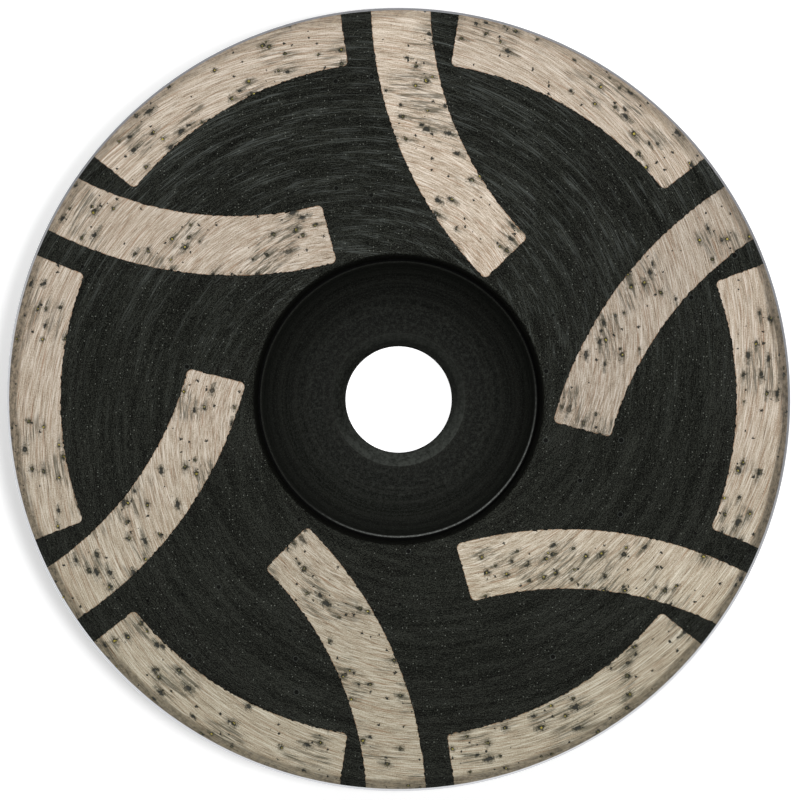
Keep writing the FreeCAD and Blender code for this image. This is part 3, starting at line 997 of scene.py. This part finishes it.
# %% Wear the face
def wear_tree():
    tree, net, entry, result = geometry_tree("worn_face", [
        ("Pocket depth", "NodeSocketFloat"), ("Tail depth", "NodeSocketFloat"),
        ("Bond", "NodeSocketMaterial")])
    pocket_depth = Number(net, entry.outputs["Pocket depth"])
    tail_depth = Number(net, entry.outputs["Tail depth"])
    x, y, z = net.point_place()
    grains = grit(net, x, y)
    sink = net.math("MAXIMUM", grains["pocket"] * pocket_depth, grains["tail"] * tail_depth)
    sink = net.math("MAXIMUM", sink, pits(net, x, y) * pocket_depth * 0.7)
    worn = net.move(entry.outputs["Geometry"], z > PLATE_TOP + 1.0,
                    Offset=net.join(0.0, 0.0, sink * -1.0))
    finish_tree(net, worn, entry.outputs["Bond"], result)
    return tree


POCKET_DEPTH = 0.14
TAIL_DEPTH = 0.035
# How light each segment's bond is, one number for each, in the order of their names: partly each
# segment's own tone, partly painted shade
RIM_TONES = (0.99, 1.00, 0.99, 0.94, 0.91, 0.95)
SWIRL_TONES = (0.82, 1.12, 0.95, 0.95, 0.91, 1.06)
wear = wear_tree()
segments = []
for kind, tones in (("rim_segment", RIM_TONES), ("swirl_segment", SWIRL_TONES)):
    for i, tone in enumerate(tones, start=1):
        node = f"{kind}_{i}"
        segment = new_object(f"{node}_worn", fine_block(node, standing_outline(nodes[node]), tone))
        apply_tree(segment, wear, {
            "Pocket depth": POCKET_DEPTH, "Tail depth": TAIL_DEPTH, "Bond": bond})
        segment.data.set_sharp_from_angle(angle=math.radians(60))
        finish_piece(segment, "segment_bond", node)
        segments.append(segment)

# %% [markdown]
# ## Grains of diamond
# One Geometry Nodes tree finds every cell's centre, keeps those over a segment, and sets a
# crystal in most pockets, its top about level with the ground face. Some pockets stay
# empty, because their grain has broken out. A ray cast straight down on the segments says
# whether there is bond below.

# %% Set the crystals
# The sheet's size and the ray's length go straight to their nodes, in metres
SHEET_SIZE = 0.1
SHEET_POINTS = 170
RAY_START = 5.0
RAY_LENGTH = 0.1
# A crystal's radius, as a share of the radius that its cell gives
SMALLEST = 0.85
LARGEST = 1.3


def grit_tree():
    tree, net, entry, result = geometry_tree("diamond_grit", [
        ("Seed", "NodeSocketInt"), ("Diamond", "NodeSocketMaterial")])
    seed = entry.outputs["Seed"]

    # Every point of a fine sheet goes to its cell's centre, and points that meet become one
    sheet = net.node("GeometryNodeMeshGrid")
    for socket, value in zip(sheet.inputs, (SHEET_SIZE, SHEET_SIZE, SHEET_POINTS, SHEET_POINTS)):
        socket.default_value = value
    x, y, _ = net.point_place()
    grains = grit(net, x, y)
    gathered = net.move(sheet.outputs["Mesh"], Position=net.join(grains["x"], grains["y"]))
    points = net.node("GeometryNodeMeshToPoints")
    net.feed(points.inputs["Mesh"], gathered)
    merge = net.node("GeometryNodeMergeByDistance")
    net.feed(merge.inputs["Geometry"], points.outputs[0])
    merge.inputs["Distance"].default_value = 0.02 * MM

    # A ray straight down says whether there is bond below
    above = net.move(merge.outputs[0], Position=net.join(x, y, FACE + RAY_START))
    ray = net.node("GeometryNodeRaycast")
    net.feed(ray.inputs["Target Geometry"], entry.outputs["Geometry"])
    ray.inputs["Ray Direction"].default_value = (0.0, 0.0, -1.0)
    ray.inputs["Ray Length"].default_value = RAY_LENGTH
    _, _, surface = net.split(net.times(ray.outputs["Hit Position"], 1 / MM))
    hit = Number(net, ray.outputs["Is Hit"])
    stay = hit * grains["held"] * (surface > PLATE_TOP + 1.0)
    keep = net.node("GeometryNodeDeleteGeometry", domain="POINT")
    net.feed(keep.inputs["Geometry"], above)
    net.feed(keep.inputs["Selection"], 1.0 - stay)

    # The ray met the sunk floor of the pocket, so the level comes from the radius
    level = FACE - net.math("MAXIMUM", net.length(x, y) - BEVEL_START, 0.0)
    aside = grains["radius"] * 0.25
    seat = net.join(x + net.math("SINE", x * 9.0) * aside, y + net.math("SINE", y * 9.0) * aside,
                    level - grains["radius"] * 1.02)
    seated = net.move(keep.outputs[0], Position=seat)

    # A crystal is a coarse ball, a little flat, turned any way
    grain = net.node("GeometryNodeMeshIcoSphere")
    grain.inputs["Radius"].default_value = MM
    grain.inputs["Subdivisions"].default_value = 1
    turn = net.node("FunctionNodeRandomValue", data_type="FLOAT_VECTOR")
    turn.inputs[1].default_value = (math.tau, math.tau, math.tau)
    net.feed(turn.inputs["Seed"], seed)
    size = net.node("FunctionNodeRandomValue", data_type="FLOAT")
    size.inputs[2].default_value = SMALLEST
    size.inputs[3].default_value = LARGEST
    net.feed(size.inputs["Seed"], seed)
    scale = net.times(net.join(1.0, 0.8, 1.0), grains["radius"] * Number(net, size.outputs[1]))
    place = net.node("GeometryNodeInstanceOnPoints")
    net.feed(place.inputs["Points"], seated)
    net.feed(place.inputs["Instance"], grain.outputs["Mesh"])
    net.feed(place.inputs["Rotation"], turn.outputs[0])
    net.feed(place.inputs["Scale"], scale)
    finish_tree(net, place.outputs[0], entry.outputs["Diamond"], result)
    return tree


def joined_copy(name, sources):
    """One mesh with the given nodes' meshes in it."""
    shape = bmesh.new()
    for source in sources:
        shape.from_mesh(source.data)
    mesh = bpy.data.meshes.new(name)
    shape.to_mesh(mesh)
    shape.free()
    return mesh


crystals = new_object("diamond_grit", joined_copy("diamond_grit", segments))
apply_tree(crystals, grit_tree(), {"Seed": 7, "Diamond": diamond})
finish_piece(crystals, "segment_bond")

# %% [markdown]
# ## The resin keeps its solid
# The cast resin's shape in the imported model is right, so it only takes its finish.

# %% Finish the resin
nodes["resin_fill"].data.materials.clear()
nodes["resin_fill"].data.materials.append(resin)

# %% [markdown]
# ## Floor, light and camera
# The wheel lies on its hub on a white sweep. The photograph's white goes beyond what a lit
# floor gives, so rays from the camera see a little extra white on it, and the shadow stays.
# A small lamp stands almost overhead, a little to the right, and throws the thin crescent of
# shadow on the left. Two wide softboxes at the top of the picture shape the bevel and the
# well.

# %% Floor
WHITE = paint(250, 250, 250)
FLOOR_GLOW = 0.40
STUDIO_LIGHT = 0.3


def seen_rays(net):
    """1 for rays that see the backdrop itself, straight or in a reflection; 0 for its light."""
    rays = net.node("ShaderNodeLightPath")
    seen = Number(net, rays.outputs["Is Camera Ray"]) + Number(net, rays.outputs["Is Glossy Ray"])
    return net.math("ADD", seen, Number(net, rays.outputs["Is Transmission Ray"]), clamp=True)


def make_floor():
    material, net, shader, place = new_material("white_sweep", specular=0.1, roughness=0.9)
    x, y, _ = net.split(place)
    shader.inputs["Base Color"].default_value = WHITE
    shader.inputs["Emission Color"].default_value = (1.0, 1.0, 1.0, 1.0)
    # Full extra white within 10 mm of the axis, fading by 16 mm: painted light that clears the
    # shadow under the hub, seen through the bore.
    glow = net.blend(net.length(x, y), 10.0, 16.0, 1.0, FLOOR_GLOW)
    net.feed(shader.inputs["Emission Strength"], seen_rays(net) * glow)
    return material


def make_sheet(name, half, height):
    mesh = bpy.data.meshes.new(name)
    corners = [(-half, -half), (half, -half), (half, half), (-half, half)]
    mesh.from_pydata([(x, y, height) for x, y in corners], [], [(0, 1, 2, 3)])
    return new_object(name, mesh)


FLOOR_HALF = 3.0
FLOOR_LEVEL = -0.05 * MM
floor = make_sheet("floor", FLOOR_HALF, FLOOR_LEVEL)
floor.data.materials.append(make_floor())

world = bpy.data.worlds.new("studio")
scene.world = world
world.use_nodes = True
background = world.node_tree.nodes["Background"]
background.inputs["Color"].default_value = (1.0, 1.0, 1.0, 1.0)
studio = Net(world.node_tree)
studio.feed(background.inputs["Strength"], seen_rays(studio) * (1.0 - STUDIO_LIGHT) + STUDIO_LIGHT)

# %% [markdown]
# A softbox in a studio is a white cloth with a lamp behind it. A square area lamp does the
# same. A small one throws a crisp shadow and a large one a soft shadow.

# %% Softboxes
def softbox(name, bearing, height, away, size, power):
    """A square lamp aimed at the wheel. Bearing and height are degrees, away and size metres."""
    lamp = bpy.data.lights.new(name, "AREA")
    lamp.shape = "SQUARE"
    lamp.size = size
    lamp.energy = power
    made = bpy.data.objects.new(name, lamp)
    scene.collection.objects.link(made)
    turn = math.radians(bearing)
    rise = math.radians(height)
    flat = math.cos(rise)
    made.location = Vector((math.cos(turn) * flat, math.sin(turn) * flat, math.sin(rise))) * away
    made.rotation_euler = (-made.location).to_track_quat("-Z", "Y").to_euler()


softbox("overhead", -14, 84, 0.8, 0.07, 2.75)
softbox("key_right", 68, 52, 0.45, 0.3, 0.58)
softbox("key_left", 130, 50, 0.45, 0.3, 0.24)

# %% [markdown]
# **Camera.** The photograph looks straight down the axis with a long lens: the rim's near
# and far edges show almost no perspective. Its picture is 101.2 mm wide at the ground face.

# %% Camera
CAMERA_HEIGHT = 700.0
PICTURE_WIDTH = 101.2
PICTURE_MIDDLE = (0.18, -0.06)
ROLL = 0.42
lens = bpy.data.cameras.new("camera")
lens.sensor_width = 36.0
lens.lens = lens.sensor_width * CAMERA_HEIGHT / PICTURE_WIDTH
camera = bpy.data.objects.new("camera", lens)
camera.location = Vector((*PICTURE_MIDDLE, FACE + CAMERA_HEIGHT)) * MM
camera.rotation_euler = (0.0, 0.0, math.radians(ROLL))
scene.collection.objects.link(camera)
scene.camera = camera
scene.view_settings.view_transform = "Standard"
print("lens", round(lens.lens, 1), "mm")
